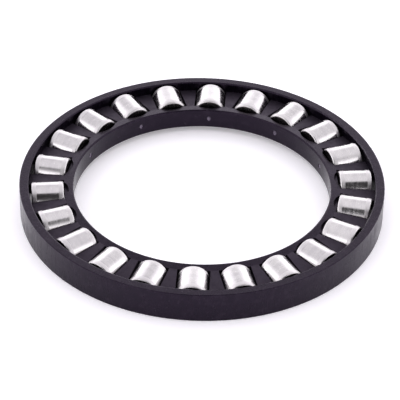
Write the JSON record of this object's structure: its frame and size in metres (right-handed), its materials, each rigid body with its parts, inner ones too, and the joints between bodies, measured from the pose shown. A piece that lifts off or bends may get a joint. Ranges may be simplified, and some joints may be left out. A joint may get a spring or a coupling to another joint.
{
  "type": "thrust roller and cage assembly",
  "caption": "Flat ring cage with cylindrical rollers lying along radii in open pockets; rolls between two flat washers to carry an axial load on a shaft.",
  "frame": {"origin": "centre of the bearing, on its axis, halfway between the two raceway planes", "axes": "+Z along the bearing's axis, across its thickness; +Y through the middle of roller_01"},
  "size_m": [0.085, 0.085, 0.0074],
  "materials": {
    "cage_plastic": "moulded glass-fibre filled black plastic, satin",
    "roller_steel": "finely ground hardened bearing steel, bright satin"
  },
  "bodies": {
    "cage": {"cage": "cage_plastic"},
    "roller_01": {"roller_01": "roller_steel"},
    "roller_02": {"roller_02": "roller_steel"},
    "roller_03": {"roller_03": "roller_steel"},
    "roller_04": {"roller_04": "roller_steel"},
    "roller_05": {"roller_05": "roller_steel"},
    "roller_06": {"roller_06": "roller_steel"},
    "roller_07": {"roller_07": "roller_steel"},
    "roller_08": {"roller_08": "roller_steel"},
    "roller_09": {"roller_09": "roller_steel"},
    "roller_10": {"roller_10": "roller_steel"},
    "roller_11": {"roller_11": "roller_steel"},
    "roller_12": {"roller_12": "roller_steel"},
    "roller_13": {"roller_13": "roller_steel"},
    "roller_14": {"roller_14": "roller_steel"},
    "roller_15": {"roller_15": "roller_steel"},
    "roller_16": {"roller_16": "roller_steel"},
    "roller_17": {"roller_17": "roller_steel"},
    "roller_18": {"roller_18": "roller_steel"},
    "roller_19": {"roller_19": "roller_steel"},
    "roller_20": {"roller_20": "roller_steel"},
    "roller_21": {"roller_21": "roller_steel"},
    "roller_22": {"roller_22": "roller_steel"}
  },
  "joints": [
    {"name": "roller_01_spin", "type": "hinge", "parent": "cage", "child": "roller_01", "pos_m": [0, 0.036, 0], "axis": [0, 1, 0], "continuous": true},
    {"name": "roller_02_spin", "type": "hinge", "parent": "cage", "child": "roller_02", "pos_m": [-0.01014, 0.03454, 0], "axis": [-0.2817, 0.9595, 0], "continuous": true},
    {"name": "roller_03_spin", "type": "hinge", "parent": "cage", "child": "roller_03", "pos_m": [-0.01946, 0.03029, 0], "axis": [-0.5406, 0.8413, 0], "continuous": true},
    {"name": "roller_04_spin", "type": "hinge", "parent": "cage", "child": "roller_04", "pos_m": [-0.02721, 0.02357, 0], "axis": [-0.7557, 0.6549, 0], "continuous": true},
    {"name": "roller_05_spin", "type": "hinge", "parent": "cage", "child": "roller_05", "pos_m": [-0.03275, 0.01495, 0], "axis": [-0.9096, 0.4154, 0], "continuous": true},
    {"name": "roller_06_spin", "type": "hinge", "parent": "cage", "child": "roller_06", "pos_m": [-0.03563, 0.00512, 0], "axis": [-0.9898, 0.1423, 0], "continuous": true},
    {"name": "roller_07_spin", "type": "hinge", "parent": "cage", "child": "roller_07", "pos_m": [-0.03563, -0.00512, 0], "axis": [-0.9898, -0.1423, 0], "continuous": true},
    {"name": "roller_08_spin", "type": "hinge", "parent": "cage", "child": "roller_08", "pos_m": [-0.03275, -0.01495, 0], "axis": [-0.9096, -0.4154, 0], "continuous": true},
    {"name": "roller_09_spin", "type": "hinge", "parent": "cage", "child": "roller_09", "pos_m": [-0.02721, -0.02357, 0], "axis": [-0.7557, -0.6549, 0], "continuous": true},
    {"name": "roller_10_spin", "type": "hinge", "parent": "cage", "child": "roller_10", "pos_m": [-0.01946, -0.03029, 0], "axis": [-0.5406, -0.8413, 0], "continuous": true},
    {"name": "roller_11_spin", "type": "hinge", "parent": "cage", "child": "roller_11", "pos_m": [-0.01014, -0.03454, 0], "axis": [-0.2817, -0.9595, 0], "continuous": true},
    {"name": "roller_12_spin", "type": "hinge", "parent": "cage", "child": "roller_12", "pos_m": [0, -0.036, 0], "axis": [0, -1, 0], "continuous": true},
    {"name": "roller_13_spin", "type": "hinge", "parent": "cage", "child": "roller_13", "pos_m": [0.01014, -0.03454, 0], "axis": [0.2817, -0.9595, 0], "continuous": true},
    {"name": "roller_14_spin", "type": "hinge", "parent": "cage", "child": "roller_14", "pos_m": [0.01946, -0.03029, 0], "axis": [0.5406, -0.8413, 0], "continuous": true},
    {"name": "roller_15_spin", "type": "hinge", "parent": "cage", "child": "roller_15", "pos_m": [0.02721, -0.02357, 0], "axis": [0.7557, -0.6549, 0], "continuous": true},
    {"name": "roller_16_spin", "type": "hinge", "parent": "cage", "child": "roller_16", "pos_m": [0.03275, -0.01495, 0], "axis": [0.9096, -0.4154, 0], "continuous": true},
    {"name": "roller_17_spin", "type": "hinge", "parent": "cage", "child": "roller_17", "pos_m": [0.03563, -0.00512, 0], "axis": [0.9898, -0.1423, 0], "continuous": true},
    {"name": "roller_18_spin", "type": "hinge", "parent": "cage", "child": "roller_18", "pos_m": [0.03563, 0.00512, 0], "axis": [0.9898, 0.1423, 0], "continuous": true},
    {"name": "roller_19_spin", "type": "hinge", "parent": "cage", "child": "roller_19", "pos_m": [0.03275, 0.01495, 0], "axis": [0.9096, 0.4154, 0], "continuous": true},
    {"name": "roller_20_spin", "type": "hinge", "parent": "cage", "child": "roller_20", "pos_m": [0.02721, 0.02357, 0], "axis": [0.7557, 0.6549, 0], "continuous": true},
    {"name": "roller_21_spin", "type": "hinge", "parent": "cage", "child": "roller_21", "pos_m": [0.01946, 0.03029, 0], "axis": [0.5406, 0.8413, 0], "continuous": true},
    {"name": "roller_22_spin", "type": "hinge", "parent": "cage", "child": "roller_22", "pos_m": [0.01014, 0.03454, 0], "axis": [0.2817, 0.9595, 0], "continuous": true}
  ]
}
